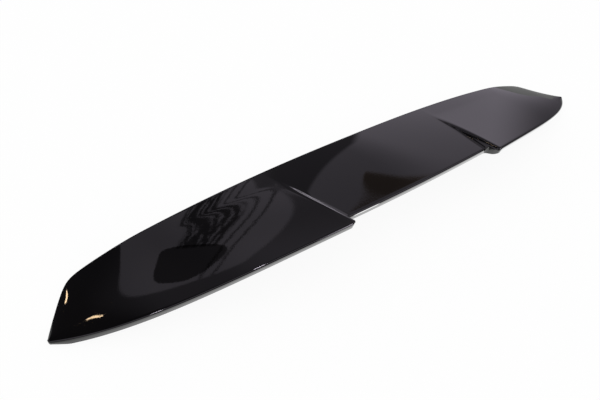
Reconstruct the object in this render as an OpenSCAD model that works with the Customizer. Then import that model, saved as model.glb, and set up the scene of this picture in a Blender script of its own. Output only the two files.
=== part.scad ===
// Tailgate spoiler: one thin moulded shell, a lowered middle between two raised wings.
// X runs across the width, Y towards the front edge, Z up from the floor it rests on.

/* [Overall] */
// full width from tip to tip
span = 1150; // [1050:10:1250]
// front edge of the middle to the rear corners of the wings
depth = 192; // [180:1:210]
// thickness of the moulded sheet
wall = 3; // [2:0.25:4]

/* [Front and side edges] */
// how far the front edge falls back at its corners
front_bow = 6; // [2:0.5:12]
// tips to the front corners, measured across the width
corner_inset = 59; // [45:1:75]
// how gently the front corners are rounded
corner_blend = 17; // [8:1:30]
// how far the side edges bulge outwards
side_bulge = 1.5; // [0:0.5:4]
// rise of the front edge at the middle, above its ends
front_rise = 48.5; // [35:0.5:60]
// how far beyond the tips the arch of the front edge would meet the floor
arch_beyond = 17; // [10:1:35]
// power of the arch, higher is flatter in the middle
arch_power = 2.5; // [2:0.1:3]
// extra drop of the front corners onto the floor
corner_drop = 9; // [5:0.5:11]
// where that drop begins, as a share of the way out to the front corners
drop_from = 0.775; // [0.7:0.005:0.85]
// where it would end, as a share of the same way
drop_to = 1.047; // [1.03:0.001:1.08]

/* [Tips] */
// tips ahead of the middle of the depth
tip_y = 6; // [0:1:15]
// height of the rear edge at the tips
tip_z = 5.5; // [4.5:0.5:8]
// radius of the tips seen from above
tip_radius = 6; // [5:0.5:8]
// length of the side edges, across the width, that turns with the tips
tip_run = 9; // [7:0.5:12]

/* [Wings] */
// middle of the spoiler to the inner corners of the wings
wing_x = 164; // [140:1:190]
// height of the inner rear corners of the wings
wing_z = 89; // [80:1:95]
// radius of those corners seen from above
wing_corner = 10; // [8:0.5:14]
// share of each wing over which its extra height dies out
lift_share = 0.7; // [0.5:0.05:0.9]
// straight share of the sweep of the rear edge, the rest curves in near the tips
sweep_share = 0.62; // [0.5:0.01:0.8]
// straight share of the fall of the rear edge towards the tips
fall_share = 0.9; // [0.7:0.01:1]
// power of the curved shares
tip_curve = 5; // [3:0.5:7]

/* [Lowered middle] */
// how far its rear edge stands ahead of the wing corners
notch_depth = 22; // [19:0.5:30]
// height of its rear edge at the middle
middle_z = 70.5; // [64:0.5:74]
// rise of that edge from the middle to the steps
middle_sag = 3.5; // [0:0.5:6]
// radius in the inner corners of the notch
notch_radius = 4; // [3.5:0.5:6]
// middle of the spoiler to the points where the steps fade out
fade_x = 183; // [160:1:205]
// those points ahead of the middle of the depth
fade_y = 62; // [40:1:75]
// softness of the start of each step
fade_soft = 0.12; // [0.06:0.02:0.4]
// width of each step from its foot to its rounded top
step_width = 12; // [10:0.5:14]
// reach of the fillet at its foot, to either side
step_fillet = 1.5; // [1:0.25:2.5]
// power of the round at its top
step_round = 2.2; // [2:0.1:2.6]

/* [Skin] */
// outward bulge of the skin between the front and rear edges
crown = 3; // [0:0.5:6]
// radius of the rolled rear edge
nose_radius = 3; // [2.5:0.25:4]
// radius it narrows to at the tips
tip_nose = 0.5; // [0.4:0.1:1]
// radius inside the rolled edge
lining_nose = 0.8; // [0.5:0.1:1.5]
// height of the rear edge from the skin to the lower rim
rim_height = 12; // [9:0.5:15]
// how far the lower rim is tucked in under the rolled edge
rim_tuck = 2; // [0:0.25:3]
// sideways shift of the inner skin that keeps the steps from thinning
step_shift = 1.7; // [0:0.1:2.5]

/* [Facets] */
// stations across half of the lowered middle
middle_stations = 9; // [5:1:16]
// stations across each wing
wing_stations = 20; // [12:1:30]
// power that crowds them towards the tips
wing_crowding = 1.5; // [1:0.1:2]
// stations round each small corner
corner_stations = 7; // [5:1:10]
// strips from the front edge to the rolled edge
skin_rows = 9; // [6:1:14]
// strips round the rolled edge
nose_rows = 4; // [3:1:8]

/* [Hidden] */

half = span / 2;
front_y = depth / 2;
rear_y = -depth / 2;
middle_y = rear_y + notch_depth;
corner_x = half - corner_inset;
corner_y = front_y - front_bow;
arch_reach = half + arch_beyond;
// lean of the step lines, sideways per millimetre forward
step_lean = (fade_x - wing_x) / (fade_y - rear_y);
step_front_x = wing_x + step_lean * depth;

function smooth(t) = let(c = min(1, max(0, t))) c * c * (3 - 2 * c);
function mix(a, b, t) = a + (b - a) * t;
function soft_min(a, b, k) = (a + b - sqrt((a - b) * (a - b) + k * k)) / 2;
function soft_floor(z) = (z + sqrt(z * z + wall * wall)) / 2;

// outline of the front edge, its rounded corner and the side edge, seen from above
function front_line(x) = front_y - front_bow * pow(x / corner_x, 2);
function side_line(x) = let(t = (half - x) / corner_inset, foot = tip_y + tip_radius)
    foot + (corner_y - foot) * t + 4 * side_bulge * t * (1 - t);
function edge_y(x) = soft_min(front_line(x), side_line(x), corner_blend);
function edge_z(x) = wall + soft_floor(front_rise * (1 - pow(abs(x) / arch_reach, arch_power))
    - corner_drop * smooth((x / corner_x - drop_from) / (drop_to - drop_from)));

// rear edges: the sweep takes over where the wing's rounded inner corner has turned into it
sweep = atan(sweep_share * (tip_y - rear_y) / (half - wing_x - wing_corner));
sweep_x = wing_x + wing_corner * (1 + sin(sweep));
sweep_y = rear_y + wing_corner * (1 - cos(sweep));
function along(x, start) = max(0, (x - start) / (half - start));
function wing_rear_y(x) = let(t = along(x, sweep_x))
    mix(sweep_y, tip_y, sweep_share * t + (1 - sweep_share) * pow(t, tip_curve));
function wing_rear_z(x) = let(t = along(x, wing_x))
    mix(wing_z, tip_z, fall_share * t + (1 - fall_share) * pow(t, tip_curve));
function middle_rear_z(x) = middle_z + middle_sag * pow(min(x, wing_x) / wing_x, 2);

// small distance over which slopes are measured
slope_reach = 0.1;
// where the rear edge reaches the tip radius
tip_angle = atan((wing_rear_y(half) - wing_rear_y(half - slope_reach)) / slope_reach);
tip_start_x = half - tip_radius + tip_radius * sin(tip_angle);
tip_centre_y = wing_rear_y(tip_start_x) + tip_radius * cos(tip_angle);
tip_last_angle = atan(corner_inset / (corner_y - tip_y - tip_radius));

// height of the wings above the middle, grown from the fade point to the rear edge
step_lift = wing_z - (edge_z(step_front_x) + (middle_rear_z(wing_x) - edge_z(step_front_x))
    * (edge_y(step_front_x) - rear_y) / (edge_y(step_front_x) - middle_y));
fade_at = (edge_y(step_front_x) - fade_y) / (edge_y(step_front_x) - rear_y);
function grow(q) = let(t = max(0, (q - fade_at) / (1 - fade_at)))
    t * t / (t + fade_soft) * (1 + fade_soft);
function lift(x) = step_lift * (1 - smooth((x - wing_x) / (half - wing_x) / lift_share));

// lean of a line at distance x from the middle: none at the middle and the tips, full at the step
function lean(x) = step_lean * (x < wing_x ? sin(90 * x / wing_x)
    : 1 - pow((x - wing_x) / (half - wing_x), 2));
function placed(x, y) = [x + lean(x) * (y - rear_y), y];

// section of the step: a fillet at its foot and a wide round at its top
inner_x = wing_x - notch_radius;
function filleted(d) = abs(d) < step_fillet ? pow(d + step_fillet, 2) / (4 * step_fillet) : d;
function step_share(x) = let(d = filleted(x - inner_x - step_fillet))
    1 - pow(1 - min(1, max(0, d / step_width)), step_round);

// skin height at y, on the line that starts at x on the rear edge
function skin_z(x, y) = let(
    xf = x + lean(x) * depth, yf = edge_y(xf), zf = edge_z(xf),
    q = (yf - y) / (yf - wing_rear_y(x)),
    low = mix(zf, middle_rear_z(x), (yf - y) / (yf - middle_y)),
    high = mix(zf, wing_rear_z(x) - lift(x), q) + lift(x) * grow(q))
    mix(low, high, step_share(x)) + 4 * crown * q * (1 - q);

// each station: distance at the front, distance and y of the rim, share of the tip
corner_end_x = sweep_x - nose_radius * sin(sweep);
last_x = half - tip_run;
end_x = half - tip_radius * (1 - cos(tip_last_angle)) - wall / 2;
function middle_list() = [for (i = [0 : middle_stations])
    let(x = inner_x * i / middle_stations) [x, x, middle_y, 0]];
function notch_list() = [for (i = [1 : corner_stations]) let(a = 90 * i / corner_stations)
    [inner_x + (notch_radius + nose_radius) * sin(a), inner_x + notch_radius * sin(a),
     middle_y - notch_radius * (1 - cos(a)), 0]];
function wing_corner_list() = [for (i = [0 : corner_stations])
    let(a = (90 + sweep) * i / corner_stations, x = wing_x + wing_corner * (1 - cos(a)))
    [x + nose_radius * cos(a), x, rear_y + wing_corner * (1 - sin(a)), 0]];
function wing_list() = [for (i = [1 : wing_stations])
    let(t = 1 - pow(1 - i / wing_stations, wing_crowding), x = mix(sweep_x, tip_start_x, t))
    [mix(corner_end_x, last_x, t), x, wing_rear_y(x), 0]];
function tip_list() = [for (i = [1 : corner_stations])
    let(t = i / corner_stations, a = mix(tip_angle - 90, tip_last_angle, t))
    [mix(last_x, end_x, t), half - tip_radius + tip_radius * cos(a),
     tip_centre_y + tip_radius * sin(a), t]];
plan = concat(middle_list(), notch_list(), wing_corner_list(), wing_list(), tip_list());
last = len(plan) - 1;
corner_end = middle_stations + 2 * corner_stations + 1;
rim = [for (p = plan) placed(p[1], p[2])];

// outward direction of the rim at a station
function rim_out(i) = i == 0 ? [0, -1] :
    let(a = rim[i - 1], b = rim[min(last, i + 1)], d = (b - a) / norm(b - a)) [d[1], -d[0]];
function tip_share(i) = plan[i][3];
function nose(i) = mix(nose_radius, tip_nose, tip_share(i));

// a point of a station's row: on the front edge where v is 0, an inset from the rim where it is 1
function skin_point(i, inset, v) = let(
    xf = plan[i][0] + lean(plan[i][0]) * depth, n = rim_out(i),
    p = mix([xf, edge_y(xf)], rim[i] - n * inset, v))
    [p[0], p[1], skin_z(mix(plan[i][0], plan[i][1] - n[0] * inset, v), p[1])];

// slope of the skin towards the rim, which the rolled edge takes over where it starts
tilt_rounds = 5;
function slope_out(i, inset) = let(
    n = rim_out(i), d = slope_reach, x = plan[i][1] - n[0] * inset, y = rim[i][1] - n[1] * inset,
    over_x = (skin_z(x + d, y) - skin_z(x - d, y)) / (2 * d),
    over_y = (skin_z(x, y + d) - skin_z(x, y - d)) / (2 * d))
    n[0] * over_x + n[1] * (over_y - over_x * lean(x));
function tilt_of(i, tilt, rounds) = rounds <= 0 ? tilt :
    tilt_of(i, atan(slope_out(i, nose(i) * (1 + sin(tilt)))) * (1 - tip_share(i)), rounds - 1);
tilts = [for (i = [0 : last]) tilt_of(i, 0, tilt_rounds)];

// the lower rim follows the rear edge, and runs straight from the middle to the wing in the notch
middle_foot = skin_point(middle_stations, nose_radius, 1)[2] - rim_height;
wing_foot = skin_point(corner_end, nose_radius, 1)[2] - rim_height;
function foot(i, top) = i >= middle_stations && i <= corner_end
    ? mix(middle_foot, wing_foot, min(1, (middle_y - plan[i][2]) / notch_depth))
    : max(0, top - mix(rim_height, wall, tip_share(i)));

// the rolled edge after a row's last skin point, from the skin's slope to the vertical, and the rim
function rolled(i, start, r, foot_z) = let(n = rim_out(i), g = tilts[i], out = r * (1 + sin(g)))
    concat(
        [for (k = [1 : nose_rows]) let(a = mix(-g, 90, k / nose_rows), o = r * (sin(a) + sin(g)))
            [start[0] + n[0] * o, start[1] + n[1] * o, start[2] + r * (cos(a) - cos(g))]],
        [let(o = out - rim_tuck * (1 - tip_share(i)))
            [start[0] + n[0] * o, start[1] + n[1] * o, foot_z]]);

// one station of the outer skin: front edge, rolled rear edge, lower rim
function outer_row(i) = let(r = nose(i), inset = r * (1 + sin(tilts[i])),
    row = [for (j = [0 : skin_rows]) skin_point(i, inset, j / skin_rows)])
    concat(row, rolled(i, row[skin_rows], r, foot(i, row[skin_rows][2])));

// the same station of the inner skin, one wall thickness inside, shifted where the step would thin it:
// the shift grows over the first share of a row and dies out at its end
shift_start = 0.25;
shift_power = 6;
function near_step(i) = let(d = abs(i - middle_stations - corner_stations / 2) / corner_stations)
    1 - smooth(2 * d - 1);
function inner_row(i) = let(
    r = max(nose(i) - wall, lining_nose), inset = wall + r * (1 + sin(tilts[i])),
    top = skin_point(i, nose(i) * (1 + sin(tilts[i])), 1)[2],
    row = [for (j = [0 : skin_rows]) let(v = j / skin_rows,
        shift = step_shift * near_step(i) * smooth(v / shift_start) * (1 - pow(v, shift_power)))
        skin_point(i, inset, v) + [shift, 0, -wall]])
    concat(row, rolled(i, row[skin_rows], r, foot(i, top)));

function mirrored(row) = [for (p = row) [-p[0], p[1], p[2]]];
function across(rows) = concat([for (i = [last : -1 : 1]) mirrored(rows[i])], rows);

module spoiler_shell() {
    outer = across([for (i = [0 : last]) outer_row(i)]);
    inner = across([for (i = [0 : last]) inner_row(i)]);
    stations = len(outer);
    per = skin_rows + nose_rows + 2;
    points = concat([for (row = outer) each row], [for (row = inner) each row]);
    under = stations * per;
    function at(i, j) = i * per + j;
    skin = [for (i = [0 : stations - 2], j = [0 : per - 2])
        each [[at(i, j), at(i + 1, j), at(i + 1, j + 1)], [at(i, j), at(i + 1, j + 1), at(i, j + 1)]]];
    lining = [for (t = skin) [under + t[0], under + t[2], under + t[1]]];
    front = [for (i = [0 : stations - 2])
        each [[at(i, 0), under + at(i, 0), under + at(i + 1, 0)],
              [at(i, 0), under + at(i + 1, 0), at(i + 1, 0)]]];
    lower = [for (i = [0 : stations - 2])
        each [[at(i, per - 1), at(i + 1, per - 1), under + at(i + 1, per - 1)],
              [at(i, per - 1), under + at(i + 1, per - 1), under + at(i, per - 1)]]];
    left = [for (j = [0 : per - 2])
        each [[at(0, j), at(0, j + 1), under + at(0, j + 1)],
              [at(0, j), under + at(0, j + 1), under + at(0, j)]]];
    right = [for (j = [0 : per - 2]) let(i = stations - 1)
        each [[at(i, j), under + at(i, j), under + at(i, j + 1)],
              [at(i, j), under + at(i, j + 1), at(i, j + 1)]]];
    color([0.02, 0.02, 0.025]) polyhedron(points, concat(skin, lining, front, lower, left, right));
}

spoiler_shell();
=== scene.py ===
"""Tailgate spoiler: the gloss black moulded shell, its satin underside and a plain pale studio."""
from math import atan, cos, degrees, hypot, radians, sin

import bmesh
import bpy
from mathutils import Matrix, Vector


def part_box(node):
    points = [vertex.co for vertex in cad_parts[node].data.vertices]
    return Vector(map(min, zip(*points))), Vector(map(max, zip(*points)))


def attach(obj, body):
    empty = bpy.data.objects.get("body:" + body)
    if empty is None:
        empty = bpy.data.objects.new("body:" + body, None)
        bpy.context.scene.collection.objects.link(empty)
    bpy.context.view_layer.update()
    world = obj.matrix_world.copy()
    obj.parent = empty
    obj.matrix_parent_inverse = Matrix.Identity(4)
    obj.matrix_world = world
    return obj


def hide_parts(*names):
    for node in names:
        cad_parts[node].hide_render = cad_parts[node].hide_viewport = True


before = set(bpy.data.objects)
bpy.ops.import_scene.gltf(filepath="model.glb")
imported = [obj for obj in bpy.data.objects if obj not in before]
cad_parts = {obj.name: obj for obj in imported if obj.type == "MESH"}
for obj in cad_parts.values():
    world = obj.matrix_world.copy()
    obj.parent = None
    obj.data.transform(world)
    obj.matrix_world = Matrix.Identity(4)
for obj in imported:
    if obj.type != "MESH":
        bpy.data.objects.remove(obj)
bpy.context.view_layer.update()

MM = 0.001
shell_low, shell_high = (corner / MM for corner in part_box("spoiler_shell"))

# Sizes of the shell in millimetres, as in the part's own source
HALF = shell_high.x
REAR_Y = shell_low.y
FRONT_Y = -REAR_Y
DEPTH = FRONT_Y - REAR_Y
WALL = 3

FRONT_BOW = 6
CORNER_INSET = 59
CORNER_X = HALF - CORNER_INSET
CORNER_Y = FRONT_Y - FRONT_BOW
CORNER_BLEND = 17
SIDE_BULGE = 1.5
FRONT_RISE = 48.5
ARCH_BEYOND = 17
ARCH_REACH = HALF + ARCH_BEYOND
ARCH_POWER = 2.5
CORNER_DROP = 9
DROP_FROM = 0.775
DROP_TO = 1.047

TIP_Y = 6
TIP_Z = 5.5
TIP_RADIUS = 6
TIP_RUN = 9

WING_X = 164
WING_Z = 89
WING_CORNER = 10
SWEEP_SHARE = 0.62
FALL_SHARE = 0.9
TIP_CURVE = 5

NOTCH_DEPTH = 22
MIDDLE_Y = REAR_Y + NOTCH_DEPTH
MIDDLE_Z = 70.5
MIDDLE_SAG = 3.5
NOTCH_RADIUS = 4
FADE_X = 183
FADE_Y = 62
FADE_SOFT = 0.12
LIFT_SHARE = 0.7

CROWN = 3
NOSE_RADIUS = 3
TIP_NOSE = 0.5
TILT_ROUNDS = 5
LINING_NOSE = 0.8
RIM_HEIGHT = 12
RIM_TUCK = 2
STEP_WIDTH = 12
STEP_FILLET = 1.5
STEP_ROUND = 2.2
STEP_SHIFT = 1.7
SHIFT_START = 0.25
SHIFT_POWER = 6
SLOPE_REACH = 0.1
EDGE_BREAK = 0.45
EDGE_STEPS = 2
CREASE = radians(32)

# Stations across half of the shell, and rows from its front edge to its lower rim
MIDDLE_STATIONS = 26
CORNER_STATIONS = 14
WING_STATIONS = 88
WING_CROWDING = 1.5
TIP_STATIONS = 12
SKIN_ROWS = 52
NOSE_ROWS = 9
RIM_ROWS = 2
ROWS = SKIN_ROWS + NOSE_ROWS + RIM_ROWS


def smooth(t):
    t = min(1, max(0, t))
    return t * t * (3 - 2 * t)


def mix(a, b, t):
    return a + (b - a) * t


def soft_min(a, b, k):
    return (a + b - hypot(a - b, k)) / 2


def soft_floor(z):
    return (z + hypot(z, WALL)) / 2


def front_line(x):
    return FRONT_Y - FRONT_BOW * (x / CORNER_X) ** 2


def side_line(x):
    t = (HALF - x) / CORNER_INSET
    foot = TIP_Y + TIP_RADIUS
    return mix(foot, CORNER_Y, t) + 4 * SIDE_BULGE * t * (1 - t)


def edge_y(x):
    return soft_min(front_line(x), side_line(x), CORNER_BLEND)


def edge_z(x):
    arch = FRONT_RISE * (1 - abs(x / ARCH_REACH) ** ARCH_POWER)
    drop = CORNER_DROP * smooth((x / CORNER_X - DROP_FROM) / (DROP_TO - DROP_FROM))
    return WALL + soft_floor(arch - drop)


# The wing's rear edge starts where the rounded inner corner has turned into the sweep
SWEEP = atan(SWEEP_SHARE * (TIP_Y - REAR_Y) / (HALF - WING_X - WING_CORNER))
SWEEP_X = WING_X + WING_CORNER * (1 + sin(SWEEP))
SWEEP_Y = REAR_Y + WING_CORNER * (1 - cos(SWEEP))


def along(x, start):
    """The share of the way from a start to the tip."""
    return max(0, (x - start) / (HALF - start))


def wing_rear_y(x):
    t = along(x, SWEEP_X)
    return mix(SWEEP_Y, TIP_Y, SWEEP_SHARE * t + (1 - SWEEP_SHARE) * t ** TIP_CURVE)


def wing_rear_z(x):
    t = along(x, WING_X)
    return mix(WING_Z, TIP_Z, FALL_SHARE * t + (1 - FALL_SHARE) * t ** TIP_CURVE)


def middle_rear_z(x):
    return MIDDLE_Z + MIDDLE_SAG * (min(x, WING_X) / WING_X) ** 2


# The steps grow from their fade points to the rear edge
STEP_LEAN = (FADE_X - WING_X) / (FADE_Y - REAR_Y)
STEP_FRONT_X = WING_X + STEP_LEAN * DEPTH
STEP_REACH = edge_y(STEP_FRONT_X) - REAR_Y
MIDDLE_SHARE = STEP_REACH / (edge_y(STEP_FRONT_X) - MIDDLE_Y)
STEP_LIFT = WING_Z - mix(edge_z(STEP_FRONT_X), middle_rear_z(WING_X), MIDDLE_SHARE)
FADE_AT = (edge_y(STEP_FRONT_X) - FADE_Y) / STEP_REACH


def grow(q):
    """The step's share of its full height, from 0 at the fade point to 1 at the rear edge."""
    t = max(0, (q - FADE_AT) / (1 - FADE_AT))
    return t * t / (t + FADE_SOFT) * (1 + FADE_SOFT)


def lift(x):
    return STEP_LIFT * (1 - smooth((x - WING_X) / (HALF - WING_X) / LIFT_SHARE))


def lean(x):
    """How far a line of the skin slants sideways, per millimetre from the rear edge forwards."""
    if x < WING_X:
        return STEP_LEAN * sin(radians(90) * x / WING_X)
    return STEP_LEAN * (1 - ((x - WING_X) / (HALF - WING_X)) ** 2)


def placed(x, y):
    return Vector((x + lean(x) * (y - REAR_Y), y))


# Each station is its distance at the front, the x and y of its rim, and its share of the tip
TIP_ANGLE = atan((wing_rear_y(HALF) - wing_rear_y(HALF - SLOPE_REACH)) / SLOPE_REACH)
TIP_START_X = HALF - TIP_RADIUS * (1 - sin(TIP_ANGLE))
TIP_CENTRE_Y = wing_rear_y(TIP_START_X) + TIP_RADIUS * cos(TIP_ANGLE)
TIP_LAST = atan(CORNER_INSET / (CORNER_Y - TIP_Y - TIP_RADIUS))
INNER_X = WING_X - NOTCH_RADIUS
CORNER_END_X = SWEEP_X - NOSE_RADIUS * sin(SWEEP)
LAST_X = HALF - TIP_RUN
END_X = HALF - TIP_RADIUS * (1 - cos(TIP_LAST)) - WALL / 2
CORNER_END = MIDDLE_STATIONS + 2 * CORNER_STATIONS + 1


def middle_stations():
    for i in range(MIDDLE_STATIONS + 1):
        x = INNER_X * i / MIDDLE_STATIONS
        yield x, x, MIDDLE_Y, 0


def notch_stations():
    for i in range(1, CORNER_STATIONS + 1):
        a = radians(90) * i / CORNER_STATIONS
        x = INNER_X + NOTCH_RADIUS * sin(a)
        yield x + NOSE_RADIUS * sin(a), x, MIDDLE_Y - NOTCH_RADIUS * (1 - cos(a)), 0


def wing_corner_stations():
    for i in range(CORNER_STATIONS + 1):
        a = (radians(90) + SWEEP) * i / CORNER_STATIONS
        x = WING_X + WING_CORNER * (1 - cos(a))
        yield x + NOSE_RADIUS * cos(a), x, REAR_Y + WING_CORNER * (1 - sin(a)), 0


def wing_stations():
    for i in range(1, WING_STATIONS + 1):
        t = 1 - (1 - i / WING_STATIONS) ** WING_CROWDING
        x = mix(SWEEP_X, TIP_START_X, t)
        yield mix(CORNER_END_X, LAST_X, t), x, wing_rear_y(x), 0


def tip_stations():
    for i in range(1, TIP_STATIONS + 1):
        t = i / TIP_STATIONS
        a = mix(TIP_ANGLE - radians(90), TIP_LAST, t)
        yield (mix(LAST_X, END_X, t), HALF - TIP_RADIUS * (1 - cos(a)),
               TIP_CENTRE_Y + TIP_RADIUS * sin(a), t)


PLAN = [*middle_stations(), *notch_stations(), *wing_corner_stations(), *wing_stations(), *tip_stations()]
LAST = len(PLAN) - 1
RIM = [placed(p[1], p[2]) for p in PLAN]


def rim_out(i):
    if i == 0:
        return Vector((0, -1))
    d = (RIM[min(LAST, i + 1)] - RIM[i - 1]).normalized()
    return Vector((d.y, -d.x))


def tip_share(i):
    return PLAN[i][3]


def nose(i):
    return mix(NOSE_RADIUS, TIP_NOSE, tip_share(i))


def step_share(x):
    """The riser's section: a small fillet at its foot and a wide round at its top."""
    foot = x - INNER_X - STEP_FILLET
    if abs(foot) < STEP_FILLET:
        foot = (foot + STEP_FILLET) ** 2 / (4 * STEP_FILLET)
    return 1 - (1 - min(1, max(0, foot / STEP_WIDTH))) ** STEP_ROUND


def skin_z(x, y):
    """Height of the skin at y, on the line that starts at x on the rear edge."""
    xf = x + lean(x) * DEPTH
    yf, zf = edge_y(xf), edge_z(xf)
    q = (yf - y) / (yf - wing_rear_y(x))
    low = mix(zf, middle_rear_z(x), (yf - y) / (yf - MIDDLE_Y))
    high = mix(zf, wing_rear_z(x) - lift(x), q) + lift(x) * grow(q)
    return mix(low, high, step_share(x)) + 4 * CROWN * q * (1 - q)


def skin_point(i, inset, v):
    """A point of a station's row: on the front edge where v is 0, an inset from the rim where it is 1."""
    front_x, rim_x = PLAN[i][:2]
    xf = front_x + lean(front_x) * DEPTH
    n = rim_out(i)
    flat = mix(Vector((xf, edge_y(xf))), RIM[i] - n * inset, v)
    return Vector((flat.x, flat.y, skin_z(mix(front_x, rim_x - n.x * inset, v), flat.y)))


def near_step(i):
    """1 in the notch's inner corner, fading out over half a corner on each side of it."""
    d = abs(i - MIDDLE_STATIONS - CORNER_STATIONS / 2) / CORNER_STATIONS
    return 1 - smooth(2 * d - 1)


def slope_out(i, inset):
    """Slope of the skin towards the rim, at an inset from it."""
    n = rim_out(i)
    x, y, d = PLAN[i][1] - n.x * inset, RIM[i].y - n.y * inset, SLOPE_REACH
    over_x = (skin_z(x + d, y) - skin_z(x - d, y)) / (2 * d)
    over_y = (skin_z(x, y + d) - skin_z(x, y - d)) / (2 * d)
    return n.x * over_x + n.y * (over_y - over_x * lean(x))


def roll_tilt(i):
    """The slope that the rolled edge takes over from the skin, found where the roll then starts."""
    tilt = 0
    for _ in range(TILT_ROUNDS):
        tilt = atan(slope_out(i, nose(i) * (1 + sin(tilt)))) * (1 - tip_share(i))
    return tilt


MIDDLE_FOOT = skin_point(MIDDLE_STATIONS, NOSE_RADIUS, 1).z - RIM_HEIGHT
WING_FOOT = skin_point(CORNER_END, NOSE_RADIUS, 1).z - RIM_HEIGHT


def foot_of(i, top):
    """Height of the lower rim's foot, below the rear edge and straight from middle to wing in the notch."""
    if MIDDLE_STATIONS <= i <= CORNER_END:
        return mix(MIDDLE_FOOT, WING_FOOT, min(1, (MIDDLE_Y - PLAN[i][2]) / NOTCH_DEPTH))
    return max(0, top - mix(RIM_HEIGHT, WALL, tip_share(i)))


def rolled_rim(i, row, radius, tilt, foot):
    """Adds the rolled edge, from the skin's slope to the vertical, and the rim tucked in below it."""
    n, start = rim_out(i), row[-1]
    for k in range(1, NOSE_ROWS + 1):
        a = mix(-tilt, radians(90), k / NOSE_ROWS)
        out, up = radius * (sin(a) + sin(tilt)), radius * (cos(a) - cos(tilt))
        row.append(Vector((start.x + n.x * out, start.y + n.y * out, start.z + up)))
    end, tuck = row[-1], RIM_TUCK * (1 - tip_share(i))
    low = Vector((end.x - n.x * tuck, end.y - n.y * tuck, foot))
    return row + [mix(end, low, k / RIM_ROWS) for k in range(1, RIM_ROWS + 1)]


def both_rows(i):
    """The station's outer row, and the inner row one wall thickness inside."""
    tilt = roll_tilt(i)
    outer = [skin_point(i, nose(i) * (1 + sin(tilt)), j / SKIN_ROWS) for j in range(SKIN_ROWS + 1)]
    foot = foot_of(i, outer[-1].z)
    inner_radius = max(nose(i) - WALL, LINING_NOSE)
    inner = []
    for j in range(SKIN_ROWS + 1):
        v = j / SKIN_ROWS
        shift = STEP_SHIFT * near_step(i) * smooth(v / SHIFT_START) * (1 - v ** SHIFT_POWER)
        inner.append(skin_point(i, WALL + inner_radius * (1 + sin(tilt)), v) + Vector((shift, 0, -WALL)))
    return rolled_rim(i, outer, nose(i), tilt, foot), rolled_rim(i, inner, inner_radius, tilt, foot)


GLOSS, SATIN, TRIMMED = range(3)


def shell_piece():
    """A grid is thickened into two sheets, which then take the places of the outer and inner skin."""
    bm = bmesh.new()
    bmesh.ops.create_grid(bm, x_segments=2 * LAST, y_segments=ROWS, size=1)
    lining = bm.faces[:]
    grown = bmesh.ops.extrude_face_region(bm, geom=lining, use_keep_orig=True)["geom"]
    skin = [g for g in grown if isinstance(g, bmesh.types.BMFace)]
    outer, inner = zip(*(both_rows(i) for i in range(LAST + 1)))
    # the finer facets would stand a hair above the solid's
    shrink = min(1, shell_high.z / max(p.z for row in outer for p in row))
    on_outer = {v for g in skin for v in g.verts}
    for v in bm.verts:
        i, j = round(v.co.x * LAST), round((1 - v.co.y) / 2 * ROWS)
        p = (outer if v in on_outer else inner)[abs(i)][j]
        v.co = Vector((p.x if i > 0 else -p.x, p.y, p.z * shrink)) * MM
    for f in bm.faces:
        f.smooth = True
        f.material_index = TRIMMED
    for f in skin:
        f.material_index = GLOSS
    for f in lining:
        f.material_index = SATIN
    sheets = set(skin) | set(lining)
    trimmed = [e for e in bm.edges if len({f in sheets for f in e.link_faces}) == 2]
    bmesh.ops.bevel(bm, geom=trimmed, affect="EDGES", offset=EDGE_BREAK * MM, offset_type="OFFSET",
                    segments=EDGE_STEPS, profile=0.5, material=-1, clamp_overlap=True)
    bm.normal_update()
    for e in bm.edges:
        e.smooth = e.calc_face_angle(0) < CREASE
    mesh = bpy.data.meshes.new("moulded_shell")
    bm.to_mesh(mesh)
    bm.free()
    piece = bpy.data.objects.new("moulded_shell", mesh)
    bpy.context.scene.collection.objects.link(piece)
    return piece


class Signal:
    """A socket's value in a node tree, with the arithmetic that the finishes need."""

    def __init__(self, nodes, socket):
        self.nodes, self.socket = nodes, socket

    def math(self, operation, *others):
        """The result of a Math node on this value and the others."""
        node = self.nodes.add("ShaderNodeMath", {"operation": operation}, dict(enumerate((self, *others))))
        return self.nodes.out(node)

    def __add__(self, other):
        return self.math("ADD", other)

    def __sub__(self, other):
        return self.math("SUBTRACT", other)

    def __rsub__(self, other):
        return (self * -1).math("ADD", other)

    def __mul__(self, other):
        return self.math("MULTIPLY", other)

    def __truediv__(self, other):
        return self.math("DIVIDE", other)

    def __pow__(self, other):
        return self.math("POWER", other)

    def __abs__(self):
        return self.math("ABSOLUTE")

    __radd__, __rmul__ = __add__, __mul__

    def part(self, axis):
        split = self.nodes.add("ShaderNodeSeparateXYZ", {}, {"Vector": self})
        return self.nodes.out(split, axis)

    def dot(self, axis):
        node = self.nodes.add("ShaderNodeVectorMath", {"operation": "DOT_PRODUCT"}, {0: self, 1: axis})
        return self.nodes.out(node, "Value")

    def ramp(self, low, high, start=0.0, end=1.0):
        """A soft change from start, below low, to end, above high."""
        limits = {"Value": self, "From Min": low, "From Max": high, "To Min": start, "To Max": end}
        node = self.nodes.add("ShaderNodeMapRange", {"interpolation_type": "SMOOTHSTEP"}, limits)
        return self.nodes.out(node)


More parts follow.
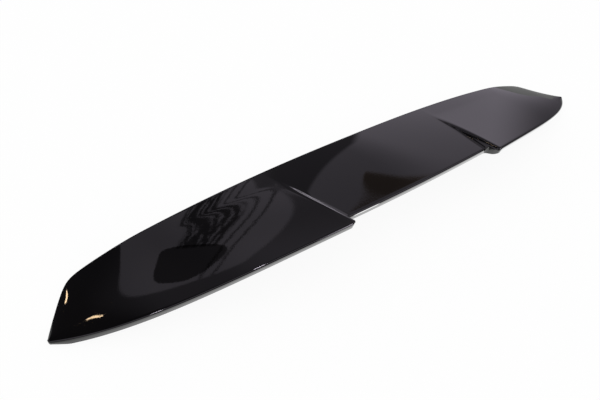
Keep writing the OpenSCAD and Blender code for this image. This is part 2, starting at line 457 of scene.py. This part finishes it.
class Nodes:
    """The node tree of a finish, a lamp or the world."""

    def __init__(self, owner):
        owner.use_nodes = True
        self.tree = owner.node_tree
        self.tree.nodes.clear()

    def add(self, kind, settings, values):
        node = self.tree.nodes.new(kind)
        for name, value in settings.items():
            setattr(node, name, value)
        for name, value in values.items():
            if isinstance(value, Signal):
                self.tree.links.new(value.socket, node.inputs[name])
            else:
                node.inputs[name].default_value = value
        return node

    def out(self, node, name=0):
        return Signal(self, node.outputs[name])

    def place(self):
        """Object coordinates in metres, which are the frame's own."""
        return self.out(self.add("ShaderNodeTexCoord", {}, {}), "Object")

    def vector(self, *parts):
        return self.out(self.add("ShaderNodeCombineXYZ", {}, dict(enumerate(parts))))

    def noise(self, scale, detail=2.0, stretch=(1, 1, 1), place=None):
        """Soft noise, with a scale per metre, drawn out along the axes whose stretch is under 1."""
        points = {0: place or self.place(), 1: stretch}
        spot = self.out(self.add("ShaderNodeVectorMath", {"operation": "MULTIPLY"}, points))
        node = self.add("ShaderNodeTexNoise", {}, {"Vector": spot, "Scale": scale, "Detail": detail})
        return self.out(node, "Fac")

    def blend(self, amount, first, second):
        """The first colour where the amount is 0 and the second where it is 1."""
        node = self.add("ShaderNodeMix", {"data_type": "RGBA"}, {"Factor": amount})
        for name, colour in (("A_Color", first), ("B_Color", second)):
            socket = next(s for s in node.inputs if s.identifier == name)
            if isinstance(colour, Signal):
                self.tree.links.new(colour.socket, socket)
            else:
                socket.default_value = (*colour, 1)
        return Signal(self, next(s for s in node.outputs if s.identifier == "Result_Color"))

    def bump(self, height, distance, under=None):
        """Relief of a depth in metres, on top of the relief under it."""
        values = {"Height": height, "Distance": distance, "Strength": 1.0}
        if under:
            values["Normal"] = under
        return self.out(self.add("ShaderNodeBump", {}, values))

    def finish(self, kind, shader):
        end = self.add(kind, {}, {})
        self.tree.links.new(shader.outputs[0], end.inputs["Surface"])


# Finishes: noise scales are per metre and depths in metres
REFRACTION = 1.5
DRIFT, HAZE, MOULD_WAVE, PEEL = 9.0, 60.0, 11.0, 420.0
HAZE_LENGTH, WAVE_LENGTH = (1, 2.5, 1), (1, 0.35, 1)
WAVE_DEPTH, PEEL_DEPTH = 0.00008, 0.000006
GRAIN, PATCH = 900.0, 14.0
CUTS, CUT_LENGTH = 1500.0, (1, 1, 0.08)
BACK_DEPTH = 0.00002


def finished(name, finish):
    """The material of a finish, which gives what its shader takes."""
    material = bpy.data.materials.new(name)
    n = Nodes(material)
    shader = n.add("ShaderNodeBsdfPrincipled", {}, {**finish(n), "IOR": REFRACTION})
    n.finish("ShaderNodeOutputMaterial", shader)
    return material


def gloss_black(n):
    """Deep black sheet with a wet gloss, faintly wavy from the mould and with a fine orange peel."""
    drift = n.noise(DRIFT, 3.0)
    colour = n.blend(drift.ramp(0.35, 0.7), (0.0007, 0.0007, 0.0008), (0.0012, 0.001, 0.001))
    wave = n.bump(n.noise(MOULD_WAVE, 1.0, WAVE_LENGTH), WAVE_DEPTH)
    return {"Base Color": colour, "Roughness": 0.01 + 0.02 * n.noise(HAZE, 4.0, HAZE_LENGTH),
            "Normal": n.bump(n.noise(PEEL), PEEL_DEPTH, wave)}


def satin_black(n):
    """The sheet's back, which never touched the polished mould."""
    patch = n.noise(PATCH, 3.0)
    colour = n.blend(patch.ramp(0.3, 0.7), (0.011, 0.011, 0.012), (0.018, 0.018, 0.019))
    return {"Base Color": colour, "Roughness": 0.4 + 0.12 * patch,
            "Normal": n.bump(n.noise(GRAIN, 3.0), BACK_DEPTH)}


def trimmed_black(n):
    """The edge where the sheet was cut from its mould, with fine marks of the cutter."""
    cuts = n.noise(CUTS, 2.0, CUT_LENGTH)
    colour = n.blend(cuts.ramp(0.4, 0.7), (0.008, 0.008, 0.009), (0.016, 0.016, 0.017))
    return {"Base Color": colour, "Roughness": 0.28 + 0.15 * cuts, "Normal": n.bump(cuts, BACK_DEPTH)}


# What stands round the part, as its gloss sees it. Azimuth goes from the front (+Y) towards the right
# (+X) and elevation from the floor up, both in degrees. A place is an azimuth, an elevation and a turn,
# a lamp is its place and half its width and height, and a span is where one level turns into another.
ROOM_LEVEL = 0.055
CEILING_LEVEL, CEILING_SIDE, CEILING_FOOT = 0.17, (-9, 3), (32, 52)
RIGHT_LEVEL, RIGHT_SPAN = 0.155, (14, 24)
DOORWAY_LEVEL, DOORWAY_SPAN = 0.09, (30, 34)
WALL_LEVELS, WALL_SPAN = (0.22, 0.52), (33, 37)
WALL_EDGE, WALL_LEAN, WALL_BEND = (43, 44.2), 0.9, 22
SLANT_SPAN, SLANT_LEAN, SLANT_HEIGHT = (42, 47), 1.08, 22.5
END_LEVEL, END_SPAN = 0.46, (59.5, 71)
BEHIND_SPAN = (90, 170)

BOARD_LEFT, BOARD_CURVE, BOARD_SOFT = 46.6, 0.4, 0.15
BOARD_CORNER, BOARD_RISE = (46.7, 28.0), 0.49
BOARD_RIGHT, BOARD_TOP, BOARD_SHADE = (54, 57), (32, 34), 0.7

CLOTH, CLOTH_ROUND = ((18.0, 33.0, -62), 0.40, 0.175), 2.4
CLOTH_SPAN, CLOTH_LEVELS, CLOTH_SOFT = (5, 25), (0.32, 0.25), 0.05
HOOP, HOOP_CURVE, HOOP_HEIGHT = (29.9, 30.4), 0.0185, 25
MOUTH, MOUTH_ROUND, MOUTH_SHADE = ((12.7, 45.3, -53), 0.123, 0.063), 3, 0.8
FOLDS_PLACE = (15, 42, 29)
WANDER_SCALE, WANDER, WANDER_MIDDLE = 28.0, 0.0065, 0.003
PLEATS, PLEAT_LENGTH, PLEAT_SPAN, PLEAT_SHADES = 230.0, (1, 0.05, 1), (0.4, 0.47), (0.1, 0.85)
BAND_LEFT, BAND_RIGHT, BAND_END = (-0.018, -0.008), (0.046, 0.052), (-0.05, -0.03)
LONG_FOLDS, FOLD_WIDTH, FOLD_LEVEL = (0.059, 0.074), (0.001, 0.0025), 0.3

WARM_LAMPS, WARM_LEVEL = (((-13.0, 26.7, 87), 0.03, 0.006), ((-7.8, 46.9, 75), 0.028, 0.005)), 18
SMALL_LAMPS, SMALL_LEVEL = (((-152, 49, 0), 0.014, 0.1), ((178, 60, 0), 0.01, 0.1)), 50
WINDOW, WINDOW_SOFT, WINDOW_LEVEL = ((49, 1, 0), 0.055, 0.13), 0.3, 1.3
STRIP, STRIP_LEVEL = ((164.5, 10, 0), 0.08, 0.4), 8
SOFT_BOXES = (
    (((-82, 38, 0), 0.85, 0.35), 0.8), (((180, 42, 0), 1.0, 0.3), 1), (((118, 33, 0), 0.35, 0.4), 0.4))
BOX_SOFT, BOX_ROUND = 0.8, 4
PLAIN, COOL, BROWN, WARM = (1, 1, 1), (1.0, 0.92, 1.07), (1.2, 0.92, 0.8), (1.2, 0.85, 0.5)
AHEAD = (0, 0.1)


def facing(azimuth, elevation, turn=0):
    """The axes ahead, across and up of something seen in a direction, which is given in degrees."""
    a, e, t = radians(azimuth), radians(elevation), radians(turn)
    ahead = Vector((sin(a) * cos(e), cos(a) * cos(e), sin(e)))
    level = Vector((cos(a), -sin(a), 0))
    upright = level.cross(ahead)
    return ahead, level * cos(t) + upright * sin(t), upright * cos(t) - level * sin(t)


def panel(way, place, half_width, half_height, soft=0.1, power=2):
    """1 on a rounded lamp face seen along a direction, and 0 beyond its soft rim."""
    ahead, across, upright = (way.dot(axis) for axis in facing(*place))
    reach = abs(across / ahead / half_width) ** power + abs(upright / ahead / half_height) ** power
    return reach.ramp(1 - soft, 1 + soft, 1, 0) * ahead.ramp(*AHEAD)


def room_walls(azimuth, elevation):
    """A dim room, lighter on the right, with a bright wall whose edges lean."""
    edge = azimuth + WALL_LEAN * (elevation - WALL_BEND).math("MAXIMUM", 0)
    slant = azimuth - SLANT_LEAN * (elevation - SLANT_HEIGHT)
    ceiling = azimuth.ramp(*CEILING_SIDE) * elevation.ramp(*CEILING_FOOT) * CEILING_LEVEL
    bright = azimuth.ramp(*WALL_SPAN) * edge.ramp(*WALL_EDGE) * slant.ramp(*SLANT_SPAN, *WALL_LEVELS)
    walls = (ceiling + azimuth.ramp(*RIGHT_SPAN, 0, RIGHT_LEVEL)
             - azimuth.ramp(*DOORWAY_SPAN, 0, DOORWAY_LEVEL)
             + bright - azimuth.ramp(*END_SPAN, 0, END_LEVEL))
    return ROOM_LEVEL + walls * azimuth.ramp(*BEHIND_SPAN, 1, 0)


def brown_board(azimuth, elevation):
    """1 on a brown board in front of the bright wall, with a curved left side."""
    left, foot = BOARD_CORNER
    beside = azimuth - BOARD_LEFT - BOARD_CURVE * (elevation - foot).math("MAXIMUM", 0) ** 2
    above = elevation - foot - BOARD_RISE * (azimuth - left)
    return (beside.ramp(-BOARD_SOFT, BOARD_SOFT) * above.ramp(-BOARD_SOFT, BOARD_SOFT)
            * azimuth.ramp(*BOARD_RIGHT, 1, 0) * elevation.ramp(*BOARD_TOP, 1, 0))


def gathered_lamp(n, way, azimuth, elevation):
    """A large round lamp of gathered cloth, with a dark mouth and dark folds that run out of it."""
    hoop = azimuth + HOOP_CURVE * (elevation - HOOP_HEIGHT) ** 2
    cloth = panel(way, *CLOTH, CLOTH_SOFT, CLOTH_ROUND) * hoop.ramp(*HOOP, 1, 0)
    mouth = panel(way, *MOUTH, CLOTH_SOFT, MOUTH_ROUND)
    ahead, across, lengthways = (way.dot(axis) for axis in facing(*FOLDS_PLACE))
    wander = n.noise(WANDER_SCALE, 5.0, (1, 1, 1), way) * WANDER
    across, lengthways = across / ahead + wander - WANDER_MIDDLE, lengthways / ahead
    pleats = n.noise(PLEATS, 2.0, PLEAT_LENGTH, n.vector(across, lengthways, 0))
    band = across.ramp(*BAND_LEFT) * across.ramp(*BAND_RIGHT, 1, 0) * lengthways.ramp(*BAND_END, 1, 0)
    folds = 1 - band * pleats.ramp(*PLEAT_SPAN, *PLEAT_SHADES)
    for place in LONG_FOLDS:
        folds = folds * abs(across - place).ramp(*FOLD_WIDTH, FOLD_LEVEL, 1)
    return cloth, 1 - cloth * (1 - folds * (1 - mouth * MOUTH_SHADE))


def studio_world():
    """A dim room with a few lamps, as the gloss sees it, and plain white for everything else."""
    world = bpy.data.worlds.new("studio")
    bpy.context.scene.world = world
    n = Nodes(world)
    gloss = n.out(n.add("ShaderNodeLightPath", {}, {}), "Is Glossy Ray")
    way = n.out(n.add("ShaderNodeTexCoord", {}, {}), "Generated")
    azimuth = way.part("X").math("ARCTAN2", way.part("Y")) * degrees(1)
    elevation = way.part("Z").math("ARCSINE") * degrees(1)
    board = brown_board(azimuth, elevation)
    cloth, folds = gathered_lamp(n, way, azimuth, elevation)
    room = room_walls(azimuth, elevation) * (1 - BOARD_SHADE * board)
    room = (room + cloth * azimuth.ramp(*CLOTH_SPAN, *CLOTH_LEVELS)) * folds
    warm = sum(panel(way, *lamp) for lamp in WARM_LAMPS)
    small = sum(panel(way, *lamp) for lamp in SMALL_LAMPS)
    boxes = sum(panel(way, *box, BOX_SOFT, BOX_ROUND) * level for box, level in SOFT_BOXES)
    window = panel(way, *WINDOW, WINDOW_SOFT) * WINDOW_LEVEL + panel(way, *STRIP) * STRIP_LEVEL
    seen = room + warm * WARM_LEVEL + small * SMALL_LEVEL + window + boxes
    tint = n.blend(gloss, PLAIN, n.blend(warm, n.blend(board, COOL, BROWN), WARM))
    light = n.add("ShaderNodeBackground", {}, {"Color": tint, "Strength": seen * gloss + (1 - gloss)})
    n.finish("ShaderNodeOutputWorld", light)


# The floor, in metres. Glossy rays alone see a painted glow on it round the part, a painted reflection in
# the rolled edge and rim, with a painted sheen beside the left notch; elsewhere they see it darkened as
# painted shade.
FLOOR_HALF, FLOOR_DROP, FLOOR_WHITE = 6, 0.0002, 0.9
GLOW_SIDE, GLOW_BACK, GLOW_FRONT = (0.55, 0.8), (-0.2, -0.15), (-0.1, 0.05)
SHEEN_LEAN, SHEEN_PLACE, SHEEN_SIDE, SHEEN_LEVEL = 0.65, 0.133, (0.024, 0.03), 4
SHEEN_BACK, SHEEN_FRONT = (-0.4, -0.3), (-0.11, -0.1)
GLOW_LEVEL, FLOOR_SHADE = 1.9, 0.67
CAMERA_SHARE, GLOSS_SHARE = 0.93, 0.95


def pale_floor():
    mesh = bpy.data.meshes.new("floor")
    bm = bmesh.new()
    below = Matrix.Translation((0, 0, -FLOOR_DROP))
    bmesh.ops.create_grid(bm, x_segments=1, y_segments=1, size=FLOOR_HALF, matrix=below)
    bm.to_mesh(mesh)
    bm.free()
    floor = bpy.data.objects.new("floor", mesh)
    bpy.context.scene.collection.objects.link(floor)
    material = bpy.data.materials.new("pale_floor")
    n = Nodes(material)
    path = n.add("ShaderNodeLightPath", {}, {})
    camera, gloss = n.out(path, "Is Camera Ray"), n.out(path, "Is Glossy Ray")
    matt = n.add("ShaderNodeBsdfDiffuse", {}, {"Color": (FLOOR_WHITE, FLOOR_WHITE, FLOOR_WHITE, 1)})
    across, back = n.place().part("X"), n.place().part("Y")
    # Painted glow, seen only by glossy rays: a bright patch round the part and a bright stripe by the left
    # notch, which paint highlights into the rim
    painted_glow = abs(across).ramp(*GLOW_SIDE, 1, 0) * back.ramp(*GLOW_BACK) * back.ramp(*GLOW_FRONT, 1, 0)
    sheen = abs(across + SHEEN_LEAN * back + SHEEN_PLACE).ramp(*SHEEN_SIDE, SHEEN_LEVEL, 0)
    painted_glow = painted_glow + sheen * back.ramp(*SHEEN_BACK) * back.ramp(*SHEEN_FRONT, 1, 0)
    # For glossy rays the strength carries the painted glow, and painted shade lowers it on the rest of the
    # floor
    strength = 1 + gloss * (painted_glow * GLOW_LEVEL - FLOOR_SHADE)
    white = n.add("ShaderNodeEmission", {}, {"Color": (1, 1, 1, 1), "Strength": strength})
    both = n.add("ShaderNodeMixShader", {}, {"Fac": camera * CAMERA_SHARE + gloss * GLOSS_SHARE})
    n.tree.links.new(matt.outputs[0], both.inputs[1])
    n.tree.links.new(white.outputs[0], both.inputs[2])
    n.finish("ShaderNodeOutputMaterial", both)
    mesh.materials.append(material)


# The camera stands where the photograph was taken from, worked out together with the part's shape
CAMERA_PLACE = Vector((-0.72814, -0.51643, 0.69419))
CAMERA_TURN = (46.26, -40.15, 9.63)
SENSOR = 36.0
PICTURE_WIDTH = 600
FOCAL_PIXELS = 663.2


def photo_camera():
    data = bpy.data.cameras.new("camera")
    data.sensor_width = SENSOR
    data.lens = FOCAL_PIXELS * SENSOR / PICTURE_WIDTH
    camera = bpy.data.objects.new("camera", data)
    bpy.context.scene.collection.objects.link(camera)
    ahead, right, upward = facing(*CAMERA_TURN)
    turn = Matrix((right, upward, -ahead)).transposed()
    camera.matrix_world = Matrix.Translation(CAMERA_PLACE) @ turn.to_4x4()
    bpy.context.scene.camera = camera


shell = shell_piece()
for material in (finished("gloss_black", gloss_black), finished("satin_black", satin_black),
                 finished("trimmed_black", trimmed_black)):
    shell.data.materials.append(material)
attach(shell, "root")
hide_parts("spoiler_shell")

pale_floor()
studio_world()
photo_camera()
bpy.context.scene.view_settings.view_transform = "Standard"
